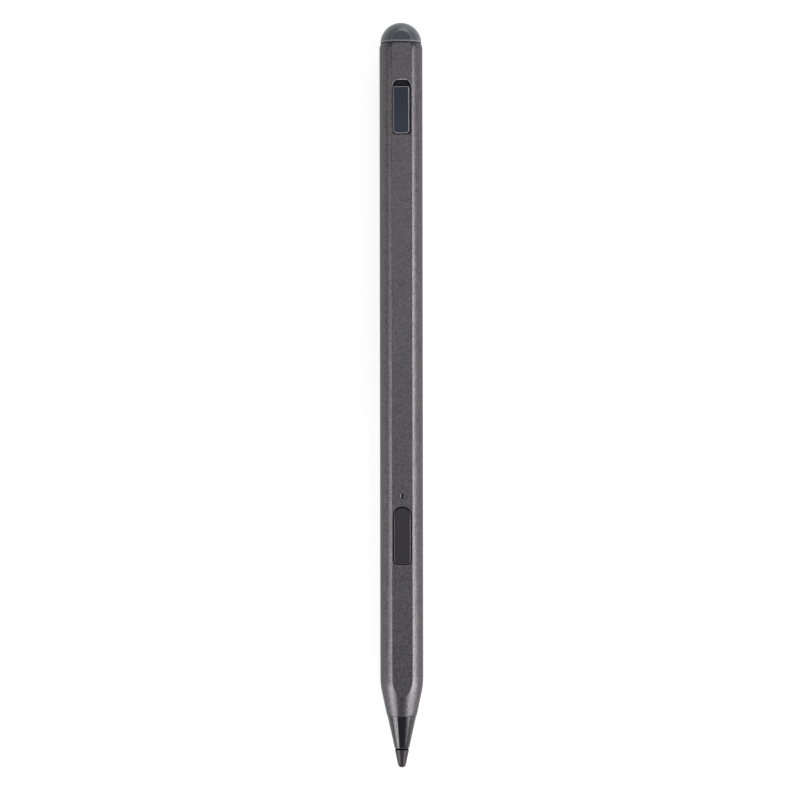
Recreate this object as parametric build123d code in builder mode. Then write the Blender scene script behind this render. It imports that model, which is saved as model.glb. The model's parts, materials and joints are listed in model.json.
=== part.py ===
from build123d import *
import os
from math import cos, radians, sin, tan

# The pen lies along X on its round back, nib towards -X, flat and buttons up. Stations are
# measured along the pen from the nib's tip, heights from the barrel's axis. All in millimetres.

# Barrel
overall_length = 164.5
barrel_radius = 4.75
flat_depth = 0.55
wall = 0.8
taper_angle = 12.05
front_station = 11.6
front_radius = 3.3
taper_blend = 17.0
rim_drop = 0.18
rim_length = 1.0
throat_clearance = 0.2
throat_flare = 3.0

# Fits shared by all pieces
slide_gap = 0.06
seat_gap = 0.03
stop_gap = 0.02
frame_gap = 0.1
cut_overrun = 1.0

# Nib, nose cone and electrode
nib_length = 3.95
nib_shoulder = 1.6
nib_angle = 11.8
nib_travel = 0.3
nib_margin = 0.05
nib_neck_radius = 1.3
nib_neck_length = 0.75
nib_stem_radius = 0.8
nib_stem_length = 11.05
nib_stem_chamfer = 0.25
nose_lip = 0.04
nose_step = 0.05
nose_web = 4.2
nose_mouth_gap = 0.12
nose_bore_gap = 0.2
nose_edge = 0.12
spigot_radius = 2.5
spigot_length = 6.4
electrode_wall = 0.36
electrode_recess = 0.5

# Plunger, spring and force sensor
plunger_radius = 1.3
plunger_setback = 0.7
socket_depth_gap = 0.1
collet_slit = 0.3
collet_slit_length = 3.6
collar_radius = 2.2
collar_length = 1.0
rear_stem_radius = 0.95
rear_stem_length = 5.0
spring_length = 4.0
spring_radius = 1.45
spring_wire = 0.3
spring_turns = 4
spring_wire_sides = 4
guide_length = 0.8
air_margin = 0.1
air_chamber_radius = 1.6
sensor_radius = 2.4
sensor_thickness = 1.0
housing_length = 4.5

# Front frame and main board
frame_wall = 0.8
rib_thickness = 1.4
board_thickness = 0.8
board_side_gap = 0.45
board_length = 50.0
board_corner = 0.8
board_drop = 3.0
board_margin = 0.5
lug_length = 1.2
lug_width = 0.8
lug_rise = 0.3
lug_inset = 2.5
frames_gap = 1.5
controller_size = 4.0
controller_height = 0.8
controller_from_rib = 5.0
radio_length = 3.2
radio_width = 2.5
radio_height = 0.7
radio_from_controller = 5.5
chip_edge = 0.1

# Side button, its switch and the charge light
button_slot_start = 45.0
button_slot_length = 12.8
button_slot_width = 4.12
button_tip_corner = 1.0
button_tail_share = 0.97
button_gap = 0.2
button_inset = 0.03
button_edge = 0.25
button_floor_drop = 0.45
button_tab_reach = 0.7
button_tab_width = 2.6
button_tab_gap = 0.05
button_boss_radius = 0.8
switch_length = 3.6
switch_width = 3.0
switch_height = 1.2
switch_travel = 0.22
switch_margin = 0.03
switch_plunger_radius = 0.7
switch_plunger_length = 0.6
switch_pocket_depth = 0.7
switch_edge = 0.15
light_from_slot = 2.35
light_slit_length = 1.3
light_slit_width = 0.62
light_recess = 0.3
light_flange_reach = 0.5
light_flange_height = 0.5
led_length = 1.6
led_width = 0.8
led_height = 0.6
led_gap = 0.1

# Battery, its tabs, magnets and flat cable
battery_headroom = 0.4
battery_gap = 0.05
battery_end_gap = 0.3
battery_edge = 0.4
terminal_radius = 1.0
terminal_height = 0.2
tab_width = 0.9
tab_spacing = 3.8
tab_thickness = 0.15
tab_drop = 2.0
tab_landing = 1.2
magnet_length = 9.0
magnet_width = 3.4
magnet_height = 1.3
magnet_edge = 0.2
magnet_from_light = 3.5
magnet_from_port = 2.4
magnet_from_battery = 3.8
flex_width = 2.6
flex_thickness = 0.15
flex_rise = 0.075
flex_rise_room = 3.5
flex_landing = 3.5
flex_bend = 0.8
flex_dip = 0.2
flex_slope = 1.7
flex_run_down = 6.3

# Charging port and its cover
port_from_rim = 8.16
port_end_margin = 1.58
port_slot_width = 4.28
port_tail_corner = 1.0
port_tip_corner = 0.8
notch_length = 1.3
cover_gap = 0.27
cover_inset = 0.03
cover_thickness = 0.67
cover_bevel = 0.14
cover_tail_corner = 0.2
cover_undercut = 0.3
hinge_gap = 0.21
hinge_pin_radius = 0.22
hinge_pin_seat = 0.38
hinge_pin_gap = 0.02
knuckle_radius = 0.57
socket_length = 8.94
socket_width = 3.16
socket_round_share = 0.95
socket_wall = 0.3
socket_setback = 0.85
socket_floor = 0.3
tongue_length = 6.7
tongue_width = 0.7
tongue_setback = 0.5
tongue_block = 1.4
usb_board_thickness = 0.6
usb_board_width = 3.5
pocket_floor = 0.7
usb_board_overhang = 2.5
bezel_drop = 1.25
bezel_thickness = 0.6
bezel_width = 4.6
bezel_leg = 1.2
bezel_reach = 1.9
bezel_tail_reach = 1.3
bezel_gap = 0.05

# Tail cap, its stem, bush and switch
cap_height = 4.56
cap_inset = 0.22
cap_facet_inset = 0.12
cap_facet_angle = 11.0
cap_edge = 0.18
tail_margin = 0.06
cap_plug_margin = 0.05
bush_wall = 0.2
stem_radius = 1.5
stem_flange_radius = 2.6
stem_flange_length = 0.6
stem_plug_length = 2.5
bush_from_rim = 0.4
bush_lip_from_rim = 2.81
bush_lip = 1.0
tail_board_from_rim = 6.06
tail_switch_size = 3.0
tail_switch_height = 1.0

# Stations and heights worked out from the sizes above
tip_x = -overall_length / 2
bore_radius = barrel_radius - wall
flat_height = barrel_radius - flat_depth
inner_flat = flat_height - wall
frame_radius = bore_radius - frame_gap
taper_end = front_station + (barrel_radius - front_radius) / tan(radians(taper_angle))
tail_gap = switch_travel + tail_margin
rim_station = overall_length - cap_height - tail_gap
nose_front = nib_length + nib_travel + nib_margin
nose_front_radius = nib_shoulder + nose_lip
electrode_front = nose_front + nose_web
electrode_bore = plunger_radius + slide_gap
electrode_radius = electrode_bore + electrode_wall
spigot_end = front_station + spigot_length
throat_end = spigot_end + throat_clearance
plunger_front = electrode_front + plunger_setback
collar_front = spigot_end + stop_gap
collar_rear = collar_front + collar_length
housing_front = collar_rear + spring_length
rear_stem_end = collar_rear + rear_stem_length
sensor_front = rear_stem_end + nib_travel + air_margin
housing_rear = housing_front + housing_length
frame_front = housing_rear + seat_gap
board_front = frame_front + board_margin
board_rear = board_front + board_length
board_width = 2 * (bore_radius - board_side_gap)
board_height = inner_flat - board_drop
board_top = board_height + board_thickness
button_slot_end = button_slot_start + button_slot_length
button_station = button_slot_start + button_slot_length / 2
button_top = flat_height - button_inset
tab_top = inner_flat - button_tab_gap
button_floor = inner_flat - button_floor_drop
switch_stand = switch_travel + switch_margin
switch_top = board_top + switch_height
side_plunger_top = switch_top + switch_stand
light_station = button_slot_end + light_from_slot
magnet_top = inner_flat - stop_gap
front_magnet = light_station + magnet_from_light + magnet_length / 2
rise_station = max(board_rear, front_magnet + magnet_length / 2 + flex_rise_room)
frames_split = rise_station + frames_gap
port_slot_end = rim_station - port_from_rim
port_slot_length = socket_length + 2 * port_end_margin
port_slot_start = port_slot_end - port_slot_length
port_station = (port_slot_start + port_slot_end) / 2
rear_magnet = port_slot_start - magnet_from_port - magnet_length / 2
battery_radius = inner_flat - battery_headroom
battery_front = frames_split + rib_thickness + battery_end_gap
battery_rear = rear_magnet - magnet_length / 2 - magnet_from_battery
pin_station = port_slot_start + hinge_gap + knuckle_radius
cover_top = flat_height - cover_inset
pin_height = cover_top - knuckle_radius
cover_end = port_slot_end - notch_length
socket_mouth = flat_height - socket_setback
usb_board_length = socket_length + 2 * usb_board_overhang
usb_board_bottom = pocket_floor - frame_radius
socket_base = usb_board_bottom + usb_board_thickness
socket_depth = socket_mouth - socket_base
socket_corner = socket_width / 2 * socket_round_share
bezel_top = flat_height - bezel_drop
cap_base = overall_length - cap_height
cap_radius = barrel_radius - cap_inset
cap_center = overall_length - cap_radius
cap_plug_radius = inner_flat - frame_gap - bush_wall - slide_gap
tail_board_front = rim_station - tail_board_from_rim
tail_switch_front = tail_board_front + board_thickness
tail_switch_rear = tail_switch_front + tail_switch_height
tail_plunger_rear = tail_switch_rear + switch_stand
bush_lip_front = rim_station - bush_lip_from_rim
bush_lip_rear = bush_lip_front + bush_lip
cap_plug_front = bush_lip_rear + switch_travel + cap_plug_margin
rear_frame_end = tail_board_front - stop_gap
pocket_start = port_slot_start - flex_run_down

pen_axis = Axis((0, 0, barrel_radius), (1, 0, 0))
upright = Plane(origin=(tip_x, 0, barrel_radius), x_dir=(1, 0, 0), z_dir=(0, -1, 0))


def at_station(station):
    return Plane(origin=(tip_x + station, 0, barrel_radius), x_dir=(0, 1, 0), z_dir=(1, 0, 0))


def at_height(height):
    return Plane(origin=(tip_x, 0, barrel_radius + height), x_dir=(1, 0, 0), z_dir=(0, 0, 1))


def turned(*points):
    """Solid of revolution about the pen's axis from a closed outline of stations and radii."""
    with BuildSketch(upright) as outline:
        with BuildLine():
            Polyline(*points, close=True)
        make_face()
    revolve(outline.sketch, axis=pen_axis)


def slot_outline(height, start, end, width, tip_corner, tail_corner):
    """Plan outline with its own corner radius at each end."""
    with BuildSketch(at_height(height)) as plan:
        with Locations(((start + end) / 2, 0)):
            Rectangle(end - start, width)
        fillet(plan.vertices().group_by(Axis.X)[-1], tail_corner)
        fillet(plan.vertices().group_by(Axis.X)[0], tip_corner)
    return plan.sketch


def lying_box(station, height, length, width, thickness, edge):
    """Board-mounted block standing on a height, its upright edges chamfered."""
    with BuildSketch(at_height(height)) as plan:
        with Locations((station, 0)):
            Rectangle(length, width)
        chamfer(plan.vertices(), edge)
    extrude(plan.sketch, amount=thickness)


def rounded_box(station, height, length, width, thickness, corner):
    """Drawn or moulded block standing on a height, its upright edges rounded."""
    with BuildSketch(at_height(height)) as plan:
        with Locations((station, 0)):
            RectangleRounded(length, width, corner)
    extrude(plan.sketch, amount=thickness)


def cut_above(height):
    """Flat cut lengthwise through the piece above a height."""
    with BuildSketch(at_height(height)) as plan:
        with Locations((overall_length / 2, 0)):
            Rectangle(2 * overall_length, 4 * barrel_radius)
    extrude(plan.sketch, amount=2 * barrel_radius, mode=Mode.SUBTRACT)


def half_round(start, end, radius, top, mode=Mode.ADD):
    """Length of round bar, cut level at its top."""
    with BuildSketch(at_station(start)) as section:
        Circle(radius)
        with Locations((0, top)):
            Rectangle(4 * radius, 4 * radius, align=(Align.CENTER, Align.MIN), mode=Mode.SUBTRACT)
    extrude(section.sketch, amount=end - start, mode=mode)


# Bore of the barrel, kept as a core: narrow throat, flare, then a tube with an inner flat
with BuildPart() as bore_core:
    throat_radius = spigot_radius + seat_gap
    bore_start = throat_end + throat_flare
    turned(
        (front_station - cut_overrun, 0),
        (front_station - cut_overrun, throat_radius),
        (throat_end, throat_radius),
        (bore_start, bore_radius),
        (rim_station + cut_overrun, bore_radius),
        (rim_station + cut_overrun, 0),
    )
    cut_above(inner_flat)

# Barrel: tube with a blended taper at the nib, an eased rim at the tail and one flat
with BuildPart() as barrel:
    rim_edge = (rim_station, barrel_radius - rim_drop)
    rim_shoulder = (rim_station - rim_length, barrel_radius)
    with BuildSketch(upright):
        with BuildLine():
            FilletPolyline(
                (front_station, front_radius),
                (taper_end, barrel_radius),
                rim_shoulder,
                radius=taper_blend,
            )
            TangentArc(rim_shoulder, rim_edge, tangent=(1, 0))
            Polyline(
                rim_edge,
                (rim_station, 0),
                (front_station, 0),
                (front_station, front_radius),
            )
        make_face()
    revolve(axis=pen_axis)
    cut_above(flat_height)
    add(bore_core.part, mode=Mode.SUBTRACT)
    button_slot = slot_outline(
        0,
        button_slot_start,
        button_slot_end,
        button_slot_width,
        button_tip_corner,
        button_slot_width / 2 * button_tail_share,
    )
    port_slot = slot_outline(
        0, port_slot_start, port_slot_end, port_slot_width, port_tip_corner, port_tail_corner
    )
    extrude(button_slot, amount=barrel_radius, mode=Mode.SUBTRACT)
    extrude(port_slot, amount=barrel_radius, mode=Mode.SUBTRACT)
    with BuildSketch(at_height(0)):
        with Locations((light_station, 0)):
            SlotOverall(light_slit_length, light_slit_width)
    extrude(amount=barrel_radius, mode=Mode.SUBTRACT)
    # blind seats for the cover's hinge pin in the side walls of the port slot
    with BuildSketch(upright):
        with Locations((pin_station, pin_height)):
            Circle(hinge_pin_radius + hinge_pin_gap)
    extrude(
        amount=port_slot_width / 2 + hinge_pin_seat + hinge_pin_gap,
        both=True,
        mode=Mode.SUBTRACT,
    )

# Nose cone: carries on the barrel's taper, with a spigot that seats in the throat
with BuildPart() as nose_cone:
    nose_rear_radius = front_radius - nose_step
    nose_bore = nib_stem_radius + nose_bore_gap
    nose_mouth = nib_neck_radius + nose_mouth_gap
    mouth_end = nose_front + nib_neck_length
    electrode_seat = electrode_radius + seat_gap
    nose_seat = front_station - seat_gap
    turned(
        (nose_front, nose_mouth),
        (nose_front, nose_front_radius - nose_edge),
        (nose_front + nose_edge, nose_front_radius),
        (nose_seat, nose_rear_radius),
        (nose_seat, spigot_radius),
        (spigot_end, spigot_radius),
        (spigot_end, electrode_seat),
        (electrode_front, electrode_seat),
        (electrode_front, nose_bore),
        (mouth_end, nose_bore),
        (mouth_end, nose_mouth),
    )

# Tilt electrode: metal sleeve in the nose cone that also guides the plunger
with BuildPart() as tilt_electrode:
    with BuildSketch(at_station(electrode_front + stop_gap)):
        Circle(electrode_radius)
        Circle(electrode_bore, mode=Mode.SUBTRACT)
    extrude(amount=spigot_end - electrode_front - electrode_recess)

# Nib: rounded point, cone and shoulder, with a neck in the nose's mouth and a plain stem behind
with BuildPart() as nib:
    nib_tan = tan(radians(nib_angle))
    nib_sin = sin(radians(nib_angle))
    nib_cos = cos(radians(nib_angle))
    point_radius = (nib_shoulder - nib_length * nib_tan) / (nib_cos - nib_tan * (1 - nib_sin))
    nib_end = nib_length + nib_stem_length
    touch = (point_radius * (1 - nib_sin), point_radius * nib_cos)
    with BuildSketch(upright):
        with BuildLine():
            TangentArc((0, 0), touch, tangent=(0, 1))
            Polyline(
                touch,
                (nib_length, nib_shoulder),
                (nib_length, nib_neck_radius),
                (nib_length + nib_neck_length, nib_neck_radius),
                (nib_length + nib_neck_length, nib_stem_radius),
                (nib_end - nib_stem_chamfer, nib_stem_radius),
                (nib_end, nib_stem_radius - nib_stem_chamfer),
                (nib_end, 0),
                (0, 0),
            )
        make_face()
    revolve(axis=pen_axis)

# Plunger: slit collet that grips the nib's stem, stop collar, and rear stem to the sensor
with BuildPart() as nib_plunger:
    collet_bore = nib_stem_radius + slide_gap
    collet_end = nib_length + nib_stem_length + socket_depth_gap
    turned(
        (plunger_front, collet_bore),
        (plunger_front, plunger_radius),
        (collar_front, plunger_radius),
        (collar_front, collar_radius),
        (collar_rear, collar_radius),
        (collar_rear, rear_stem_radius),
        (rear_stem_end, rear_stem_radius),
        (rear_stem_end, 0),
        (collet_end, 0),
        (collet_end, collet_bore),
    )
    with BuildSketch(upright):
        with Locations((plunger_front, 0)):
            Rectangle(2 * collet_slit_length, collet_slit)
    extrude(amount=2 * plunger_radius, both=True, mode=Mode.SUBTRACT)

# Spring between the plunger's collar and the sensor housing
with BuildPart() as nib_spring:
    coil_height = spring_length - spring_wire - 2 * stop_gap
    with BuildLine() as coil:
        Helix(
            pitch=coil_height / spring_turns,
            height=coil_height,
            radius=spring_radius,
            center=(tip_x + collar_rear + spring_wire / 2 + stop_gap, 0, barrel_radius),
            direction=(1, 0, 0),
        )
    with BuildSketch(Plane(origin=coil.line @ 0, z_dir=coil.line % 0)):
        RegularPolygon(spring_wire / 2, spring_wire_sides)
    sweep(is_frenet=True)

# Sensor housing: guides the rear stem and seats the sensing disc behind an air gap
with BuildPart() as sensor_housing:
    stem_guide = rear_stem_radius + slide_gap
    guide_end = housing_front + guide_length
    disc_seat = sensor_radius + seat_gap
    turned(
        (housing_front, stem_guide),
        (housing_front, frame_radius),
        (housing_rear, frame_radius),
        (housing_rear, disc_seat),
        (sensor_front, disc_seat),
        (sensor_front, air_chamber_radius),
        (guide_end, air_chamber_radius),
        (guide_end, stem_guide),
    )
    cut_above(inner_flat - frame_gap)

# Pressure sensor: disc that faces the end of the rear stem
with BuildPart() as pressure_sensor:
    with BuildSketch(at_station(sensor_front + stop_gap)):
        Circle(sensor_radius)
    extrude(amount=sensor_thickness)

# Front frame: half tube under the main board, with ribs, lugs and a plug behind the sensor
with BuildPart() as front_frame:
    seat_height = board_height - stop_gap
    hollow_radius = frame_radius - frame_wall
    rib_stations = (board_front + lug_inset, button_station, board_rear - lug_inset)
    lug_reach = (board_width - lug_width) / 2
    lug_places = [(end, side) for end in rib_stations[::2] for side in (-lug_reach, lug_reach)]
    half_round(frame_front, frames_split, frame_radius, seat_height)
    half_round(
        frame_front + rib_thickness,
        frames_split + cut_overrun,
        hollow_radius,
        seat_height + cut_overrun,
        mode=Mode.SUBTRACT,
    )
    for rib_station in rib_stations:
        rib_start = rib_station - rib_thickness / 2
        half_round(rib_start, rib_start + rib_thickness, frame_radius, seat_height)
    with BuildSketch(at_height(seat_height)):
        with Locations(*lug_places):
            Rectangle(lug_length, lug_width)
    extrude(amount=board_thickness + lug_rise)
    half_round(
        sensor_front + sensor_thickness + 2 * stop_gap, frame_front, sensor_radius, seat_height
    )

# Main board, notched at its edges for the frame's lugs
with BuildPart() as main_board:
    with BuildSketch(at_height(board_height)) as board_plan:
        with Locations(((board_front + board_rear) / 2, 0)):
            Rectangle(board_length, board_width)
        chamfer(board_plan.vertices(), board_corner)
        with Locations(*lug_places):
            Rectangle(lug_length + 2 * slide_gap, lug_width + 2 * slide_gap, mode=Mode.SUBTRACT)
    extrude(amount=board_thickness)

# Chips on the main board
controller_station = rib_stations[0] + controller_from_rib
with BuildPart() as controller_chip:
    lying_box(
        controller_station,
        board_top,
        controller_size,
        controller_size,
        controller_height,
        chip_edge,
    )

with BuildPart() as radio_module:
    lying_box(
        controller_station + radio_from_controller,
        board_top,
        radio_length,
        radio_width,
        radio_height,
        chip_edge,
    )

# Side switch and its plunger
with BuildPart() as side_switch:
    lying_box(button_station, board_top, switch_length, switch_width, switch_height, switch_edge)
    with BuildSketch(at_height(switch_top)):
        with Locations((button_station, 0)):
            Circle(switch_plunger_radius + slide_gap)
    extrude(amount=-switch_pocket_depth, mode=Mode.SUBTRACT)

with BuildPart() as side_switch_plunger:
    with BuildSketch(at_height(side_plunger_top)):
        with Locations((button_station, 0)):
            Circle(switch_plunger_radius)
    extrude(amount=-switch_plunger_length)

# Side button: rounded key with end tabs under the barrel wall and a boss on the switch
with BuildPart() as side_button:
    key_outline = slot_outline(
        button_floor,
        button_slot_start + button_gap,
        button_slot_end - button_gap,
        button_slot_width - 2 * button_gap,
        button_tip_corner - button_gap,
        (button_slot_width / 2 - button_gap) * button_tail_share,
    )
    extrude(key_outline, amount=button_top - button_floor)
    chamfer(side_button.faces().sort_by(Axis.Z)[-1].edges(), button_edge)
    with BuildSketch(at_height(button_floor)):
        with Locations((button_station, 0)):
            Rectangle(button_slot_length + 2 * button_tab_reach, button_tab_width)
    extrude(amount=tab_top - button_floor)
    with BuildSketch(at_height(button_floor)):
        with Locations((button_station, 0)):
            Circle(button_boss_radius)
    extrude(amount=side_plunger_top + stop_gap - button_floor)

# Charge light and the clear pipe that carries it to the flat
with BuildPart() as indicator_led:
    lying_box(light_station, board_top, led_length, led_width, led_height, chip_edge)

with BuildPart() as light_pipe:
    pipe_bottom = board_top + led_height + led_gap
    pipe_top = flat_height - light_recess
    with BuildSketch(at_height(pipe_bottom)):
        with Locations((light_station, 0)):
            SlotOverall(light_slit_length - 2 * slide_gap, light_slit_width - 2 * slide_gap)
    extrude(amount=pipe_top - pipe_bottom)
    with BuildSketch(at_height(inner_flat - stop_gap)):
        with Locations((light_station, 0)):
            Rectangle(
                light_slit_length + 2 * light_flange_reach,
                light_slit_width + 2 * light_flange_reach,
            )
    extrude(amount=-light_flange_height)

# Battery: round cell, eased at its terminal end
with BuildPart() as battery:
    turned(
        (battery_front, 0),
        (battery_front, battery_radius),
        (battery_rear - battery_edge, battery_radius),
        (battery_rear, battery_radius - battery_edge),
        (battery_rear, terminal_radius),
        (battery_rear + terminal_height, terminal_radius),
        (battery_rear + terminal_height, 0),
    )

# Two bent metal tabs from the cell's front face to the main board
with BuildPart() as battery_tabs:
    tab_face = battery_front - stop_gap
    with BuildSketch(upright):
        with BuildLine():
            Polyline(
                (board_rear - tab_landing, board_top),
                (board_rear - tab_landing, board_top + tab_thickness),
                (tab_face, board_top + tab_thickness),
                (tab_face, board_top - tab_drop),
                (tab_face - tab_thickness, board_top - tab_drop),
                (tab_face - tab_thickness, board_top),
                close=True,
            )
        make_face()
    extrude(amount=(tab_spacing + tab_width) / 2, both=True)
    with BuildSketch(upright):
        with Locations(((board_rear - tab_landing + tab_face) / 2, board_top)):
            Rectangle(tab_face - board_rear + tab_landing + 2 * cut_overrun, 4 * tab_drop)
    extrude(amount=(tab_spacing - tab_width) / 2, both=True, mode=Mode.SUBTRACT)

# Two bar magnets glued behind the flat
with BuildPart() as holding_magnets:
    with BuildSketch(at_height(magnet_top)):
        with Locations((front_magnet, 0), (rear_magnet, 0)):
            Rectangle(magnet_length, magnet_width)
    extrude(amount=-magnet_height)
    chamfer(holding_magnets.edges().filter_by(Axis.Z), magnet_edge)

# Rear frame: cradle for the cell, then a block with the port board's pocket
with BuildPart() as rear_frame:
    cradle_radius = battery_radius + battery_gap
    rear_frame_front = frames_split + stop_gap
    half_round(rear_frame_front, rear_frame_end, frame_radius, 0)
    half_round(
        rear_frame_front + rib_thickness,
        battery_rear + terminal_height + battery_gap,
        cradle_radius,
        cut_overrun,
        mode=Mode.SUBTRACT,
    )
    pocket = slot_outline(
        usb_board_bottom - stop_gap,
        pocket_start,
        port_station + usb_board_length / 2 + slide_gap,
        usb_board_width + 2 * slide_gap,
        board_corner,
        board_corner,
    )
    extrude(pocket, amount=barrel_radius, mode=Mode.SUBTRACT)
    with BuildSketch(upright):
        with BuildLine():
            Polyline(
                (battery_rear + rib_thickness, 0),
                (pocket_start + board_corner, 0),
                (pocket_start + board_corner, usb_board_bottom - stop_gap),
                (pocket_start, usb_board_bottom - stop_gap),
                close=True,
            )
        make_face()
    extrude(amount=usb_board_width / 2 + slide_gap, both=True, mode=Mode.SUBTRACT)

# Flat cable: from the main board over the cell and down to the port board
with BuildPart() as flex_cable:
    low_run = board_top + stop_gap + flex_thickness / 2
    high_run = battery_radius + flex_rise + flex_thickness / 2
    port_run = socket_base + stop_gap + flex_thickness / 2
    bend_over = battery_rear + terminal_height
    with BuildLine(upright) as route:
        FilletPolyline(
            (board_rear - flex_landing, low_run),
            (rise_station - flex_thickness, low_run),
            (battery_front - battery_end_gap, high_run),
            (bend_over, high_run),
            (bend_over + flex_slope, flex_dip),
            (pocket_start + board_corner, port_run),
            (port_station - socket_length / 2 - slide_gap, port_run),
            radius=flex_bend,
        )
    with BuildSketch(Plane(origin=route.line @ 0, x_dir=(0, 1, 0), z_dir=(1, 0, 0))):
        Rectangle(flex_width, flex_thickness)
    sweep()

# Port board
with BuildPart() as usb_board:
    lying_box(
        port_station,
        usb_board_bottom,
        usb_board_length,
        usb_board_width,
        usb_board_thickness,
        board_corner,
    )

# Charging socket: drawn shell standing on the port board, and the block with its tongue
with BuildPart() as usb_shell:
    mouth_length = socket_length - 2 * socket_wall
    mouth_width = socket_width - 2 * socket_wall
    mouth_corner = socket_corner - socket_wall
    rounded_box(port_station, socket_base, socket_length, socket_width, socket_depth, socket_corner)
    with BuildSketch(at_height(socket_base + socket_floor)):
        with Locations((port_station, 0)):
            RectangleRounded(mouth_length, mouth_width, mouth_corner)
    extrude(amount=socket_depth, mode=Mode.SUBTRACT)

with BuildPart() as usb_tongue:
    block_bottom = socket_base + socket_floor + stop_gap
    rounded_box(
        port_station,
        block_bottom,
        mouth_length - 2 * seat_gap,
        mouth_width - 2 * seat_gap,
        tongue_block,
        mouth_corner - seat_gap,
    )
    with BuildSketch(at_height(block_bottom)):
        with Locations((port_station, 0)):
            Rectangle(tongue_length, tongue_width)
    extrude(amount=socket_mouth - tongue_setback - block_bottom)

# Bezel: plate round the socket's mouth on two legs, floor of the nail notch
with BuildPart() as port_bezel:
    bezel_start = port_slot_start - bezel_reach
    bezel_end = port_slot_end + bezel_tail_reach
    with BuildSketch(upright):
        with BuildLine():
            Polyline(
                (bezel_start, stop_gap),
                (bezel_start, bezel_top),
                (bezel_end, bezel_top),
                (bezel_end, stop_gap),
                (bezel_end - bezel_leg, stop_gap),
                (bezel_end - bezel_leg, bezel_top - bezel_thickness),
                (bezel_start + bezel_leg, bezel_top - bezel_thickness),
                (bezel_start + bezel_leg, stop_gap),
                close=True,
            )
        make_face()
    extrude(amount=bezel_width / 2, both=True)
    with BuildSketch(at_height(bezel_top)):
        with Locations((port_station, 0)):
            RectangleRounded(
                socket_length + 2 * bezel_gap,
                socket_width + 2 * bezel_gap,
                socket_corner + bezel_gap,
            )
    extrude(amount=-2 * bezel_thickness, mode=Mode.SUBTRACT)

# Hinge pin of the port cover, seated in both side walls of the slot
with BuildPart() as cover_hinge_pin:
    with BuildSketch(upright):
        with Locations((pin_station, pin_height)):
            Circle(hinge_pin_radius)
    extrude(amount=port_slot_width / 2 + hinge_pin_seat, both=True)

# Port cover: bevelled plate with a full-width knuckle, common to its side, plan and end outlines
with BuildPart() as port_cover:
    cover_start = pin_station - knuckle_radius
    cover_width = port_slot_width - 2 * cover_gap
    cover_bottom = cover_top - cover_thickness
    with BuildSketch(upright):
        with BuildLine():
            Polyline(
                (pin_station, cover_top),
                (cover_end - cover_bevel, cover_top),
                (cover_end, cover_top - cover_bevel),
                (cover_end, cover_bottom + cover_undercut),
                (cover_end - cover_undercut, cover_bottom),
                (pin_station, cover_bottom),
                close=True,
            )
        make_face()
        with Locations((pin_station, pin_height)):
            Circle(knuckle_radius)
            Circle(hinge_pin_radius + hinge_pin_gap, mode=Mode.SUBTRACT)
    extrude(amount=cover_width / 2, both=True)
    cover_plan = slot_outline(
        0,
        cover_start,
        cover_end,
        cover_width,
        port_tip_corner - cover_gap,
        cover_tail_corner,
    )
    extrude(cover_plan, amount=barrel_radius, mode=Mode.INTERSECT)
    with BuildSketch(at_station(cover_start)) as cover_section:
        with Locations((0, cover_top)):
            Rectangle(cover_width, 2 * knuckle_radius, align=(Align.CENTER, Align.MAX))
        chamfer(cover_section.vertices().group_by(Axis.Y)[-1], cover_bevel)
    extrude(amount=cover_end - cover_start, mode=Mode.INTERSECT)

# Tail board across the barrel, with its switch and plunger
with BuildPart() as tail_board:
    with BuildSketch(at_station(tail_board_front)):
        Circle(frame_radius)
    extrude(amount=board_thickness)
    cut_above(inner_flat - frame_gap)

with BuildPart() as tail_switch:
    with BuildSketch(at_station(tail_switch_front)):
        Rectangle(tail_switch_size, tail_switch_size)
    extrude(amount=tail_switch_height)
    with BuildSketch(at_station(tail_switch_rear)):
        Circle(switch_plunger_radius + slide_gap)
    extrude(amount=-switch_pocket_depth, mode=Mode.SUBTRACT)

with BuildPart() as tail_switch_plunger:
    with BuildSketch(at_station(tail_plunger_rear)):
        Circle(switch_plunger_radius)
    extrude(amount=-switch_plunger_length)

# Tail bush: glued ring whose lip holds the stem's flange
with BuildPart() as tail_bush:
    lip_bore = stem_radius + slide_gap
    plug_bore = cap_plug_radius + slide_gap
    bush_rear = rim_station - bush_from_rim
    turned(
        (bush_lip_front, lip_bore),
        (bush_lip_front, frame_radius),
        (bush_rear, frame_radius),
        (bush_rear, plug_bore),
        (bush_lip_rear, plug_bore),
        (bush_lip_rear, lip_bore),
    )
    cut_above(inner_flat - frame_gap)

# Tail stem: reaches the switch, is caught behind the lip and plugs into the cap
with BuildPart() as tail_stem:
    stem_front = tail_plunger_rear + stop_gap
    flange_rear = bush_lip_front - stop_gap
    flange_front = flange_rear - stem_flange_length
    stem_rear = cap_plug_front + stem_plug_length
    turned(
        (stem_front, 0),
        (stem_front, stem_radius),
        (flange_front, stem_radius),
        (flange_front, stem_flange_radius),
        (flange_rear, stem_flange_radius),
        (flange_rear, stem_radius),
        (stem_rear, stem_radius),
        (stem_rear, 0),
    )

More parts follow.
